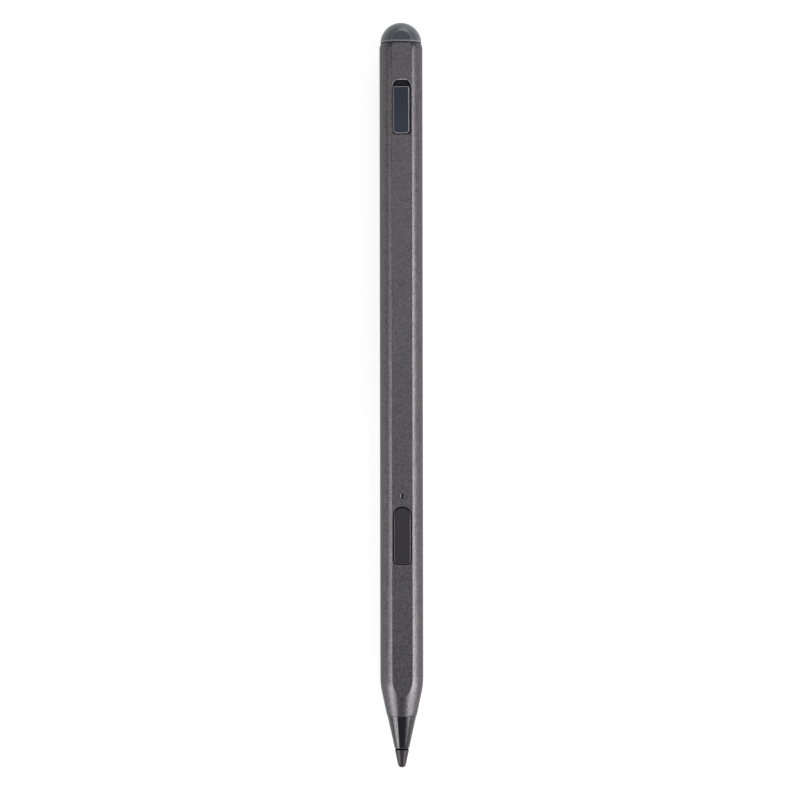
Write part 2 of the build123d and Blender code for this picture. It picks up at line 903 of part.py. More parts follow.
# Tail cap: domed button with an eased base, a leaning facet in line with the flat and a socketed plug
with BuildPart() as tail_cap:
    base_radius = (cap_radius**2 - (cap_base - cap_center) ** 2) ** 0.5
    stem_socket = stem_radius + seat_gap
    socket_end = stem_rear + stop_gap
    crown = (overall_length, 0)
    skirt = (cap_base + cap_edge, base_radius)
    with BuildSketch(upright):
        with BuildLine():
            TangentArc(crown, skirt, tangent=(0, 1))
            Polyline(
                skirt,
                (cap_base, base_radius - cap_edge),
                (cap_base, cap_plug_radius),
                (cap_plug_front, cap_plug_radius),
                (cap_plug_front, stem_socket),
                (socket_end, stem_socket),
                (socket_end, 0),
                crown,
            )
        make_face()
    revolve(axis=pen_axis)
    facet_lean = radians(cap_facet_angle)
    facet_foot = (tip_x + cap_base, 0, barrel_radius + flat_height - cap_facet_inset)
    facet_along = (cos(facet_lean), 0, -sin(facet_lean))
    facet_facing = (sin(facet_lean), 0, cos(facet_lean))
    with BuildSketch(Plane(facet_foot, x_dir=facet_along, z_dir=facet_facing)):
        Rectangle(4 * cap_height, 4 * barrel_radius)
    extrude(amount=barrel_radius, mode=Mode.SUBTRACT)

pieces = {
    "barrel": barrel,
    "nose_cone": nose_cone,
    "tilt_electrode": tilt_electrode,
    "nib": nib,
    "nib_plunger": nib_plunger,
    "nib_spring": nib_spring,
    "sensor_housing": sensor_housing,
    "pressure_sensor": pressure_sensor,
    "front_frame": front_frame,
    "main_board": main_board,
    "controller_chip": controller_chip,
    "radio_module": radio_module,
    "side_switch": side_switch,
    "side_switch_plunger": side_switch_plunger,
    "side_button": side_button,
    "indicator_led": indicator_led,
    "light_pipe": light_pipe,
    "battery": battery,
    "battery_tabs": battery_tabs,
    "holding_magnets": holding_magnets,
    "rear_frame": rear_frame,
    "flex_cable": flex_cable,
    "usb_board": usb_board,
    "usb_shell": usb_shell,
    "usb_tongue": usb_tongue,
    "port_bezel": port_bezel,
    "cover_hinge_pin": cover_hinge_pin,
    "port_cover": port_cover,
    "tail_board": tail_board,
    "tail_switch": tail_switch,
    "tail_switch_plunger": tail_switch_plunger,
    "tail_bush": tail_bush,
    "tail_stem": tail_stem,
    "tail_cap": tail_cap,
}

os.makedirs("parts", exist_ok=True)
for name, piece in pieces.items():
    piece.part.label = name
    export_step(piece.part, f"parts/{name}.step")
    print(name, round(piece.part.volume, 3))
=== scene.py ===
import json
import math

import bmesh
import bpy
import mathutils
import numpy as np
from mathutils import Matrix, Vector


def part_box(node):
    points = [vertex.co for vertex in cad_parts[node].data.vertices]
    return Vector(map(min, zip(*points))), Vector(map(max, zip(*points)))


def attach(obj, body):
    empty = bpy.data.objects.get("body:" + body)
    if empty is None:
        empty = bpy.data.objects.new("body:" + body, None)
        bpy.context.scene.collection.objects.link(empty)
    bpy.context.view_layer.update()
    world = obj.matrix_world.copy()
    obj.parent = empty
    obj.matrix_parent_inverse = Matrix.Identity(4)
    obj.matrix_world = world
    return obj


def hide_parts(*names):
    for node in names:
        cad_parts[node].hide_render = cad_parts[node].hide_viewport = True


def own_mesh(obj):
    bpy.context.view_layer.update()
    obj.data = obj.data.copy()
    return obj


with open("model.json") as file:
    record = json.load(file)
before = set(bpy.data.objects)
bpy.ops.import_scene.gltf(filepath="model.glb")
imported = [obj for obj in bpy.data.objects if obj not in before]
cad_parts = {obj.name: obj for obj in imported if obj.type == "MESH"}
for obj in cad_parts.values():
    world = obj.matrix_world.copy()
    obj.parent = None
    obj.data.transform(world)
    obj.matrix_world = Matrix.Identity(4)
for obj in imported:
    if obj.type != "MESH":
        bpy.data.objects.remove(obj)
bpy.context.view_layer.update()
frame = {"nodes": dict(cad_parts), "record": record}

# The pen lies along X with its flat up. Stations run from the nib's point, heights from the axis,
# both in millimetres; the frame gives the ends and the barrel's round size.
mm = 0.001
grip = next(m for m in frame["record"]["mounts"] if m["name"] == "barrel_grip")
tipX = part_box("nib")[0].x
axisZ = grip["pos_m"][2]
pen = {
    "radius": grip["dims"]["r_mm"],
    "length": (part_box("tail_cap")[1].x - tipX) / mm,
    "flat": (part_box("barrel")[1].z - axisZ) / mm,
    "front": (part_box("barrel")[0].x - tipX) / mm,
    "rim": (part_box("barrel")[1].x - tipX) / mm,
}

# Fineness that the pieces share: weld distance in metres, crease in degrees, points round a turned row,
# places of the points on a chord, points in the small arcs
meshing = {
    "weldGap": 1e-7, "crease": 25, "around": 144, "chord": (-1, -0.96, -0.5, 0, 0.5, 0.96, 1),
    "cornerSteps": 5, "edgeSteps": 5, "slotSteps": 10, "bevelSteps": 6, "bevelPower": 1.3,
}


def place(station, side, height):
    # station, side and height in millimetres to points in the frame
    spots = np.broadcast_arrays(tipX + station * mm, side * mm, axisZ + height * mm)
    return np.stack(spots, axis=-1)


def gridPiece(name, points, wrapRows=False, caps=False):
    # neighbours in rows and columns join in quads; columns close on themselves, and rows close,
    # end in flat caps, or run out in a pole where a row has shrunk to one point
    rows, columns = points.shape[:2]
    index = np.arange(rows * columns).reshape(rows, columns)
    low = index if wrapRows else index[:-1]
    high = np.roll(index, -1, axis=0) if wrapRows else index[1:]
    quads = np.stack([low, np.roll(low, -1, 1), np.roll(high, -1, 1), high], axis=-1)
    faces = quads.reshape(-1, 4).tolist()
    if caps:
        faces += [index[0, ::-1].tolist(), index[-1].tolist()]
    mesh = bpy.data.meshes.new(name)
    mesh.from_pydata(points.reshape(-1, 3).tolist(), [], faces)
    weld = bmesh.new()
    weld.from_mesh(mesh)
    bmesh.ops.remove_doubles(weld, verts=weld.verts, dist=meshing["weldGap"])
    bmesh.ops.recalc_face_normals(weld, faces=weld.faces)
    weld.to_mesh(mesh)
    weld.free()
    piece = bpy.data.objects.new(name, mesh)
    bpy.context.scene.collection.objects.link(piece)
    return piece


def cut(piece, cutter):
    # takes the cutter's shape out of the piece for good
    change = piece.modifiers.new("cut", "BOOLEAN")
    change.operation = "DIFFERENCE"
    change.solver = "EXACT"
    change.object = cutter
    bpy.context.view_layer.update()
    view = bpy.context.evaluated_depsgraph_get()
    made = bpy.data.meshes.new_from_object(piece.evaluated_get(view))
    piece.modifiers.clear()
    piece.data = made
    bpy.data.objects.remove(cutter)


def crisp(piece):
    # smooth faces, with the edges past the crease angle kept sharp
    mesh = piece.data
    mesh.polygons.foreach_set("use_smooth", np.ones(len(mesh.polygons), bool))
    mesh.set_sharp_from_angle(angle=math.radians(meshing["crease"]))
    mesh.update()


def dress(piece, finish, body, node):
    # a modelled piece's finish, the body it rides on and the node it stands for
    crisp(piece)
    piece.data.materials.clear()
    piece.data.materials.append(finish)
    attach(piece, body)
    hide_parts(node)
    print("piece:", piece.name, len(piece.data.polygons), "faces")


def turnedRows(stations, radii, flats=None, corner=0.0, around=meshing["around"]):
    # Each row is a circle of its radius with a chord at its flat's height. An arc of the corner radius,
    # tangent to both, joins them: its centre lies the corner below the chord and the radius less the
    # corner from the axis. A row without a flat, or with a radius under its height, is a plain circle.
    radius = np.asarray(radii, float)[:, None]
    height = radius if flats is None else np.minimum(np.asarray(flats, float)[:, None], radius)
    bend = np.minimum(np.broadcast_to(corner, len(radius))[:, None], height / 2)
    middle = np.sqrt(np.maximum((radius - height) * (radius + height - 2 * bend), 0))
    turn = np.arctan2(middle, height - bend)
    across = np.array(meshing["chord"])[None]
    step = np.linspace(0, 1, meshing["cornerSteps"])[None, 1:]
    sweep = np.linspace(0, 1, around)[None, 1:-1]
    arc = turn * step
    ring = turn + (2 * math.pi - 2 * turn) * sweep
    bendSide = middle + bend * np.sin(arc)
    bendHeight = height - bend + bend * np.cos(arc)
    side = np.hstack([middle * across, bendSide, radius * np.sin(ring), -bendSide[:, ::-1]])
    level = np.hstack([height + 0 * across, bendHeight, radius * np.cos(ring), bendHeight[:, ::-1]])
    return place(np.asarray(stations, float)[:, None] + 0 * side, side, level)


def edgeArc(station, radius, size, towards):
    # quarter circle that eases an outer end edge: from the end face out to the full radius
    turn = np.linspace(math.pi / 2, 0, meshing["edgeSteps"])
    return station + towards * size * (1 - np.sin(turn)), radius - size * (1 - np.cos(turn))


def bevelFall(share):
    # from 1 at a bevel's outer edge to 0 where it meets the top: a power a little over 1 eases it in
    return np.clip(share, 0, 1)**meshing["bevelPower"]


def bevelRows(width, depth):
    share = np.linspace(1, 0, meshing["bevelSteps"])
    return width * (1 - share), depth * bevelFall(share)


def plan(size, inset=0.0):
    # start, end, width and the two corner radii of a plan outline, drawn in all round by the inset
    corners = size["tipCorner"] - inset, size["tailCorner"] - inset
    return size["start"] + inset, size["end"] - inset, size["width"] - 2 * inset, *corners


def slotOutline(start, end, width, tipCorner, tailCorner):
    # four quarter circles joined by straight sides: from tip to tail on the left, then back on the right
    turn = np.linspace(0, math.pi / 2, meshing["slotSteps"])
    half = width / 2
    tip = start + tipCorner - tipCorner * np.cos(turn), half - tipCorner + tipCorner * np.sin(turn)
    tail = end - tailCorner + tailCorner * np.cos(turn), half - tailCorner + tailCorner * np.sin(turn)
    station = np.concatenate([tip[0], tail[0][::-1], tail[0], tip[0][::-1]])
    side = np.concatenate([tip[1], tail[1][::-1], -tail[1], -tip[1][::-1]])
    return station, side


def drawnIn(station, side, spine, share):
    # a plan outline moved that share of the way to its spine
    return station + (spine - station) * share, side * (1 - share)


# Barrel: the round tube with its flat, its front taper and the slots cut through the flat
barrel = {
    "frontRadius": 3.3, "taperAngle": 12.05, "taperBlend": 17.0,
    "rimLength": 1.0, "rimDrop": 0.18, "edge": 0.07, "flatCorner": 0.25, "innerCorner": 0.05,
    "bore": 3.95, "innerFlat": 3.4, "throat": 2.53, "throatEnd": 18.2, "boreStart": 21.2,
    "taperReach": 12, "taperSteps": 2000, "coneRows": 14, "flatRows": 48, "tubeRows": 42, "rimRows": 8,
    "cutAbove": 0.4, "cutBelow": 1,
}
buttonSlot = {
    "start": 45.0, "end": 57.8, "width": 4.14, "tipCorner": 1.0, "tailCorner": 2.0,
    "flare": 0.03, "lean": 45, "opens": "all round",
}
portSlot = {
    "start": 139.45, "end": 151.5, "width": 4.06, "tipCorner": 0.6, "tailCorner": 1.4,
    "flare": 0.12, "lean": 50, "opens": "tail",
}
lightSlot = {
    "start": 59.55, "end": 60.75, "width": 0.58, "tipCorner": 0.29, "tailCorner": 0.29,
    "flare": 0.18, "lean": 60, "opens": "left",
}


def taperRadius(station):
    # cone from the front, then an arc tangent to the cone and the tube; gives the arc's end as well
    slope = math.radians(barrel["taperAngle"])
    blend = barrel["taperBlend"]
    coneEnd = pen["front"] + (pen["radius"] - barrel["frontRadius"]) / math.tan(slope)
    arcEnd = coneEnd + blend * math.tan(slope / 2)
    cone = barrel["frontRadius"] + (station - pen["front"]) * math.tan(slope)
    back = np.clip(arcEnd - station, 0, blend * math.sin(slope))
    arc = pen["radius"] - blend + np.sqrt(blend**2 - back**2)
    return np.where(station < arcEnd - blend * math.sin(slope), cone, arc), arcEnd


def barrelProfile():
    # rows crowd where the flat runs out on the taper, spaced by the chord's half angle
    table = np.linspace(pen["front"], pen["front"] + barrel["taperReach"], barrel["taperSteps"])
    tableRadius, arcEnd = taperRadius(table)
    halfAngle = np.linspace(0, math.acos(pen["flat"] / pen["radius"]), barrel["flatRows"])
    flatRows = np.interp(pen["flat"] / np.cos(halfAngle[:-1]), tableRadius, table)
    coneRows = np.linspace(pen["front"] + barrel["edge"], flatRows[0], barrel["coneRows"])[1:-1]
    tubeRows = np.linspace(arcEnd, pen["rim"] - barrel["rimLength"], barrel["tubeRows"])
    outer = np.concatenate([coneRows, flatRows, tubeRows])
    outerRadius = taperRadius(outer)[0]
    along = np.linspace(0, 1, barrel["rimRows"])[1:-1]
    rimStation = pen["rim"] - barrel["rimLength"] + along * (barrel["rimLength"] - barrel["edge"])
    rimRadius = pen["radius"] - barrel["rimDrop"] * along**2
    front = edgeArc(pen["front"], barrel["frontRadius"], barrel["edge"], 1)
    tail = edgeArc(pen["rim"], pen["radius"] - barrel["rimDrop"], barrel["edge"], -1)
    innerStation = np.array([pen["rim"], barrel["boreStart"], barrel["throatEnd"], pen["front"]])
    innerRadius = np.array([barrel["bore"], barrel["bore"], barrel["throat"], barrel["throat"]])
    stations = np.concatenate([front[0], outer, rimStation, tail[0][::-1], innerStation])
    radii = np.concatenate([front[1], outerRadius, rimRadius, tail[1][::-1], innerRadius])
    inside = np.arange(len(stations)) >= len(stations) - len(innerStation)
    flats = np.where(inside, barrel["innerFlat"], pen["flat"])
    return stations, radii, flats, np.where(inside, barrel["innerCorner"], barrel["flatCorner"])


def slotCutter(slot):
    # the outline carried up through the wall, opening near the flat by the flare, whose faces lean
    # that many degrees from upright, all round or at one side only
    station, side = slotOutline(*plan(slot))
    ahead = np.stack([np.roll(line, -1) - np.roll(line, 1) for line in (station, side)])
    ahead = ahead / np.maximum(np.linalg.norm(ahead, axis=0), meshing["weldGap"])
    outStation, outSide = ahead[1], -ahead[0]
    outward = np.sign(np.sum(outStation * (station - station.mean()) + outSide * (side - side.mean())))
    outStation, outSide = outStation * outward, outSide * outward
    if slot["opens"] == "tail":
        outStation, outSide = np.maximum(outStation, 0), 0 * outSide
    if slot["opens"] == "left":
        outStation, outSide = 0 * outStation, np.maximum(outSide, 0)
    slope = math.tan(math.radians(slot["lean"]))
    floor = barrel["innerFlat"] - barrel["cutBelow"]
    mouth = pen["flat"] - slot["flare"] / slope
    heights = np.array([floor, mouth, pen["flat"] + barrel["cutAbove"]])[:, None]
    grow = np.array([0, 0, slot["flare"] + barrel["cutAbove"] * slope])[:, None]
    return gridPiece("cutter", place(station + grow * outStation, side + grow * outSide, heights), caps=True)


def buildBarrel(finish):
    tube = gridPiece("barrel_tube", turnedRows(*barrelProfile()), wrapRows=True)
    for slot in (buttonSlot, portSlot, lightSlot):
        cut(tube, slotCutter(slot))
    dress(tube, finish, "barrel", "barrel")


# Nose cone: eased lip, straight cone, step at the barrel, spigot and stepped bore
nose = {
    "front": 4.34, "frontRadius": 1.64, "rear": 11.57, "rearRadius": 3.25,
    "lip": 0.11, "lipRise": 0.02, "rearEdge": 0.06, "spigotRadius": 2.5, "spigotEnd": 18.0,
    "mouth": 1.48, "mouthEnd": 5.05, "bore": 1.0, "sleeveBore": 1.75, "sleeveFront": 8.5, "coneRows": 24,
}


def buildNose(finish):
    lip = edgeArc(nose["front"], nose["frontRadius"] + nose["lipRise"], nose["lip"], 1)
    coneRows = np.linspace(nose["front"] + nose["lip"], nose["rear"] - nose["rearEdge"], nose["coneRows"])[1:]
    share = (coneRows - nose["front"]) / (nose["rear"] - nose["front"])
    coneRadius = nose["frontRadius"] + share * (nose["rearRadius"] - nose["frontRadius"])
    backStation = np.array([nose["rear"], nose["rear"], nose["spigotEnd"], nose["spigotEnd"]])
    backRadius = np.array([nose["rearRadius"] - nose["rearEdge"], nose["spigotRadius"],
                           nose["spigotRadius"], nose["sleeveBore"]])
    boreStation = np.array([nose["sleeveFront"], nose["sleeveFront"], nose["mouthEnd"],
                            nose["mouthEnd"], nose["front"]])
    boreRadius = np.array([nose["sleeveBore"], nose["bore"], nose["bore"], nose["mouth"], nose["mouth"]])
    stations = np.concatenate([lip[0], coneRows, backStation, boreStation])
    radii = np.concatenate([lip[1], coneRadius, backRadius, boreRadius])
    cone = gridPiece("nose_shell", turnedRows(stations, radii), wrapRows=True)
    dress(cone, finish, "barrel", "nose_cone")


# Nib: round point tangent to a cone, eased shoulder, neck in the nose, plain stem
nibSize = {
    "length": 4.02, "shoulder": 1.6, "angle": 11.8, "edge": 0.08, "edgeRise": 0.01,
    "neck": 1.42, "neckEnd": 4.7, "stem": 0.8, "end": 15.0, "lead": 0.25,
    "tipRows": 20, "coneRows": 16, "around": 96,
}


def buildNib(finish):
    slope = math.radians(nibSize["angle"])
    reach = nibSize["shoulder"] - nibSize["length"] * math.tan(slope)
    point = reach / (math.cos(slope) - math.tan(slope) * (1 - math.sin(slope)))
    turn = np.linspace(0, math.pi / 2 - slope, nibSize["tipRows"])
    tip = point * (1 - np.cos(turn)), point * np.sin(turn)
    coneRows = np.linspace(tip[0][-1], nibSize["length"] - nibSize["edge"], nibSize["coneRows"])[1:]
    coneRadius = tip[1][-1] + (coneRows - tip[0][-1]) * math.tan(slope)
    shoulder = edgeArc(nibSize["length"], coneRadius[-1] + nibSize["edgeRise"], nibSize["edge"], -1)
    stemStation = np.array([nibSize["length"], nibSize["neckEnd"], nibSize["neckEnd"],
                            nibSize["end"] - nibSize["lead"], nibSize["end"], nibSize["end"]])
    stemRadius = np.array([nibSize["neck"], nibSize["neck"], nibSize["stem"],
                           nibSize["stem"], nibSize["stem"] - nibSize["lead"], 0])
    stations = np.concatenate([tip[0], coneRows, shoulder[0][::-1][1:], stemStation])
    radii = np.concatenate([tip[1], coneRadius, shoulder[1][::-1][1:], stemRadius])
    nib = gridPiece("nib_point", turnedRows(stations, radii, around=nibSize["around"]))
    dress(nib, finish, "nib", "nib")


# Tail cap: dome with a facet in line with the flat, eased base, plug with the stem's socket
cap = {
    "base": 159.99, "baseRadius": 4.53, "edge": 0.08,
    "facetDrop": 0.12, "facetLean": 4.5, "facetCorner": 0.12,
    "plugRadius": 3.04, "plugFront": 158.12, "socketRadius": 1.53, "socketEnd": 160.64,
    "tableSteps": 4000, "facetRows": 40, "crownRows": 24,
}


def facetHeight(station):
    # the facet leans down towards the crown
    fall = math.tan(math.radians(cap["facetLean"]))
    return pen["flat"] - cap["facetDrop"] - (station - cap["base"]) * fall


def buildCap(finish):
    # dome rows crowd towards the facet's end, spaced by the chord's half angle, then run evenly to the crown
    skirt = cap["base"] + cap["edge"]
    rise = pen["length"] - skirt
    ball = (rise**2 + cap["baseRadius"]**2) / (2 * rise)

    def ballRadius(station):
        return np.sqrt(np.maximum(ball**2 - (station - pen["length"] + ball)**2, 0))

    table = np.linspace(skirt, pen["length"], cap["tableSteps"])
    ratio = ballRadius(table) / facetHeight(table)
    halfAngle = np.linspace(math.acos(1 / ratio[0]), 0, cap["facetRows"])
    facetRows = np.interp(1 / np.cos(halfAngle), ratio[::-1], table[::-1])
    facetEnd = math.acos(np.clip((facetRows[-1] - pen["length"] + ball) / ball, -1, 1))
    crownTurn = np.linspace(facetEnd, 0, cap["crownRows"])[1:]
    domeStation = np.concatenate([facetRows, pen["length"] - ball + ball * np.cos(crownTurn)])
    domeRadius = ballRadius(domeStation)
    domeRadius[-1] = 0
    lip = edgeArc(cap["base"], cap["baseRadius"], cap["edge"], 1)
    plugStation = np.array([cap["socketEnd"], cap["socketEnd"], cap["plugFront"],
                            cap["plugFront"], cap["base"]])
    plugRadius = np.array([0, cap["socketRadius"], cap["socketRadius"],
                           cap["plugRadius"], cap["plugRadius"]])
    stations = np.concatenate([plugStation, lip[0][:-1], domeStation])
    radii = np.concatenate([plugRadius, lip[1][:-1], domeRadius])
    shell = gridPiece("tail_dome", turnedRows(stations, radii, facetHeight(stations), cap["facetCorner"]))
    dress(shell, finish, "tail_button", "tail_cap")


# Side button: boss on the switch, skirt and end tabs under the wall, key with a bevelled and crowned top
button = {
    "gap": 0.26, "top": 4.17, "bevel": 0.15, "bevelDrop": 0.1, "crown": 0.03, "floor": 2.95, "tabTop": 3.3,
    "tabReach": 0.7, "tabWidth": 2.6, "bossRadius": 0.8, "skirt": 0.35,
    "cornerSteps": 16, "tabSteps": 11, "topRows": 9,
}


def keyEnd(at, width, corner, towards):
    # one end from side to side: corner arc, the tab's width (its edges twice, to move alone), corner arc
    half, tab = width / 2, button["tabWidth"] / 2
    arc = half - corner + corner * np.sin(np.linspace(math.pi / 2, 0, button["cornerSteps"]))
    outer = np.append(arc[arc > tab], tab)
    inner = np.linspace(-tab, tab, button["tabSteps"])
    side = np.concatenate([-outer, inner, outer[::-1]])
    into = np.maximum(np.abs(side) - half + corner, 0)
    station = at - towards * (corner - np.sqrt(np.maximum(corner**2 - into**2, 0)))
    onTab = np.concatenate([0 * outer, 0 * inner + 1, 0 * outer]).astype(bool)
    return station, side, onTab


def buildButton(finish):
    # plan outlines stacked by height: boss circle, skirt with end tabs, key, bevel, top drawn in to its spine
    start, end, width, tipCorner, tailCorner = plan(buttonSlot, button["gap"])
    tip = keyEnd(start, width, tipCorner, -1)
    tail = keyEnd(end, width, tailCorner, 1)
    station, side, onTab = (np.concatenate([a, b[::-1]]) for a, b in zip(tail, tip))
    middle = (start + end) / 2
    spine = np.clip(station, start + width / 2, end - width / 2)
    angle = np.arctan2(side, station - middle)
    reach = (buttonSlot["end"] - buttonSlot["start"]) / 2 + button["tabReach"]
    tabStation = np.where(onTab, middle + np.sign(station - middle) * reach, station)
    tabSide = side * (1 + 2 * button["skirt"] / width)
    boss = middle + button["bossRadius"] * np.cos(angle), button["bossRadius"] * np.sin(angle)
    bossBottom = (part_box("side_button")[0].z - axisZ) / mm
    rows = [(middle + 0 * station, 0 * side, bossBottom), (*boss, bossBottom), (*boss, button["floor"]),
            (tabStation, tabSide, button["floor"]), (tabStation, tabSide, button["tabTop"]),
            (station, side, button["tabTop"])]
    for inset, drop in zip(*bevelRows(button["bevel"], button["bevelDrop"])):
        outline = drawnIn(station, side, spine, inset / (width / 2))
        rows.append((*outline, button["top"] - button["crown"] - drop))
    rim = width / 2 - button["bevel"]
    for step in np.linspace(0, 1, button["topRows"])[1:]:
        outline = drawnIn(station, side, spine, (button["bevel"] + step * rim) / (width / 2))
        rows.append((*outline, button["top"] - button["crown"] * (1 - step)**2))
    key = gridPiece("side_key", np.stack([place(*row) for row in rows]))
    dress(key, finish, "side_button", "side_button")


# Port cover: side profile with the hinge knuckle, carried across the width, bevelled at its sides
cover = {
    "end": 150.05, "width": 3.5, "shift": 0.11, "top": 4.17, "thickness": 0.67,
    "bevel": 0.26, "bevelDrop": 0.15, "undercut": 0.3, "knuckle": 0.57, "pinStation": 140.18, "pinHole": 0.24,
    "tipCorner": 0.74, "tailCorner": 0.2, "tipTrim": 0.12,
    "knuckleSteps": 36, "columns": (0.34, 0.44, 0.54, 0.64), "lastColumn": 1.0,
    "holeSides": 32, "holeReach": 1,
}
cover["start"] = cover["pinStation"] - cover["knuckle"] + cover["tipTrim"]


def buildCover(finish):
    # column by column, heights are held between the knuckle's underside and the side bevels, and
    # stations inside the corner arcs
    pinHeight = cover["top"] - cover["knuckle"]
    bottom = cover["top"] - cover["thickness"]
    lastTurn = 2 * math.pi - math.asin((pinHeight - bottom) / cover["knuckle"])
    turn = np.linspace(math.pi / 2, lastTurn, cover["knuckleSteps"])
    arc = np.stack([cover["pinStation"] + cover["knuckle"] * np.cos(turn),
                    pinHeight + cover["knuckle"] * np.sin(turn)], axis=-1)
    under = np.array([(cover["end"] - cover["undercut"], bottom), (cover["end"], bottom + cover["undercut"])])
    inset, drop = bevelRows(cover["bevel"], cover["bevelDrop"])
    brow = np.stack([cover["end"] - inset, cover["top"] - drop], axis=-1)
    profile = np.concatenate([arc, under, brow])
    half = cover["width"] / 2
    inward = np.concatenate([inset, cover["columns"], [cover["tipCorner"], cover["lastColumn"]]])
    side = np.concatenate([-half + inward, half - inward[::-1]])[:, None]
    fromSide = half - np.abs(side)

    def cornerInset(size):
        # how far a corner arc draws the end back at each column
        into = np.clip(size - fromSide, 0, size)
        return size - np.sqrt(size**2 - into**2)

    first = cover["start"] + cornerInset(cover["tipCorner"])
    last = cover["end"] - cornerInset(cover["tailCorner"])
    station = np.clip(profile[None, :, 0] + 0 * side, first, last)
    keel = pinHeight - np.sqrt(cover["knuckle"]**2 - np.maximum(first - cover["pinStation"], 0)**2)
    brim = cover["top"] - cover["bevelDrop"] * bevelFall(1 - fromSide / cover["bevel"])
    height = np.clip(profile[None, :, 1], keel, brim)
    lid = gridPiece("port_lid", place(station, side + cover["shift"] + 0 * station, height), caps=True)
    around = np.linspace(0, 2 * math.pi, cover["holeSides"] + 1)[:-1]
    across = np.array([-half - cover["holeReach"], half + cover["holeReach"]])[:, None]
    hole = place(cover["pinStation"] + cover["pinHole"] * np.cos(around), across,
                 pinHeight + cover["pinHole"] * np.sin(around))
    cut(lid, gridPiece("cutter", hole, caps=True))
    dress(lid, finish, "port_cover", "port_cover")


# Light pipe: slot-shaped window with a domed top, and its flange under the wall
pipe = {
    "gap": 0.06, "top": 3.9, "dome": 0.1, "flangeTop": 3.38, "flangeHeight": 0.5, "flangeReach": 0.5,
    "domeRows": 9,
}


def buildPipe(finish):
    # plan outlines stacked by height: pipe, flange, pipe again, then the dome drawn in to its spine
    gap = pipe["gap"]
    outline = plan(lightSlot, gap)
    start, end, width = outline[:3]
    station, side = slotOutline(*outline)
    reach = pipe["flangeReach"] + gap
    wide = slotOutline(start - reach, end + reach, width + 2 * reach, gap, gap)
    bottom = (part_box("light_pipe")[0].z - axisZ) / mm
    spine = np.clip(station, start + width / 2, end - width / 2)
    low = pipe["flangeTop"] - pipe["flangeHeight"]
    rows = [(spine, 0 * side, bottom), (station, side, bottom), (station, side, low), (*wide, low),
            (*wide, pipe["flangeTop"]), (station, side, pipe["flangeTop"])]
    for step in np.linspace(0, 1, pipe["domeRows"]):
        rise = pipe["dome"] * math.sqrt(1 - (1 - step)**2)
        rows.append((*drawnIn(station, side, spine, step), pipe["top"] - pipe["dome"] + rise))
    window = gridPiece("light_window", np.stack([place(*row) for row in rows]))
    dress(window, finish, "barrel", "light_pipe")


# Nib spring: round wire on a helix, shortened by the plunger's travel
coil = {"wire": 0.3, "turns": 4, "steps": 24, "sides": 8, "travel": 0.3}


def buildSpring(finish):
    # the wire's circle stands square to the helix: one of its directions points out from the axis,
    # the other is square to that and to the path
    low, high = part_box("nib_spring")
    half = coil["wire"] / 2
    start, end = (low.x - tipX) / mm + half, (high.x - tipX) / mm - half
    radius = (high.y - low.y) / mm / 2 - half
    turn = np.linspace(0, 2 * math.pi * coil["turns"], coil["turns"] * coil["steps"] + 1)[:, None]
    around = np.linspace(0, 2 * math.pi, coil["sides"] + 1)[None, :-1]
    rise = (end - start) / turn[-1, 0]
    slant = math.atan2(rise, radius)
    out, over = radius + half * np.cos(around), half * np.sin(around)
    station = start + rise * turn - math.cos(slant) * over
    side = out * np.cos(turn) - math.sin(slant) * over * np.sin(turn)
    height = out * np.sin(turn) + math.sin(slant) * over * np.cos(turn)
    spring = gridPiece("spring_coil", place(station, side, height), caps=True)
    dress(spring, finish, "barrel", "nib_spring")
    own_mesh(spring)


class Wire:
    # a socket's value: sums, differences, products and quotients with numbers or other values add Math nodes
    def __init__(self, finish, socket):
        self.finish = finish
        self.socket = socket

    def join(self, operation, first, second):
        return self.finish.node("ShaderNodeMath", {"operation": operation}, {0: first, 1: second})

    def most(self, other):
        return self.join("MAXIMUM", self, other)

    def least(self, other):
        return self.join("MINIMUM", self, other)

    def above(self, other):
        return self.join("GREATER_THAN", self, other)

    def clip(self):
        return self.most(0.0).least(1.0)

    def size(self):
        return self.join("ABSOLUTE", self, 0.0)

    def root(self):
        return self.join("SQRT", self, 0.0)

    def __add__(self, other):
        return self.join("ADD", self, other)

    __radd__ = __add__

    def __sub__(self, other):
        return self.join("SUBTRACT", self, other)

    def __rsub__(self, other):
        return self.join("SUBTRACT", other, self)

    def __mul__(self, other):
        return self.join("MULTIPLY", self, other)

    __rmul__ = __mul__

    def __truediv__(self, other):
        return self.join("DIVIDE", self, other)


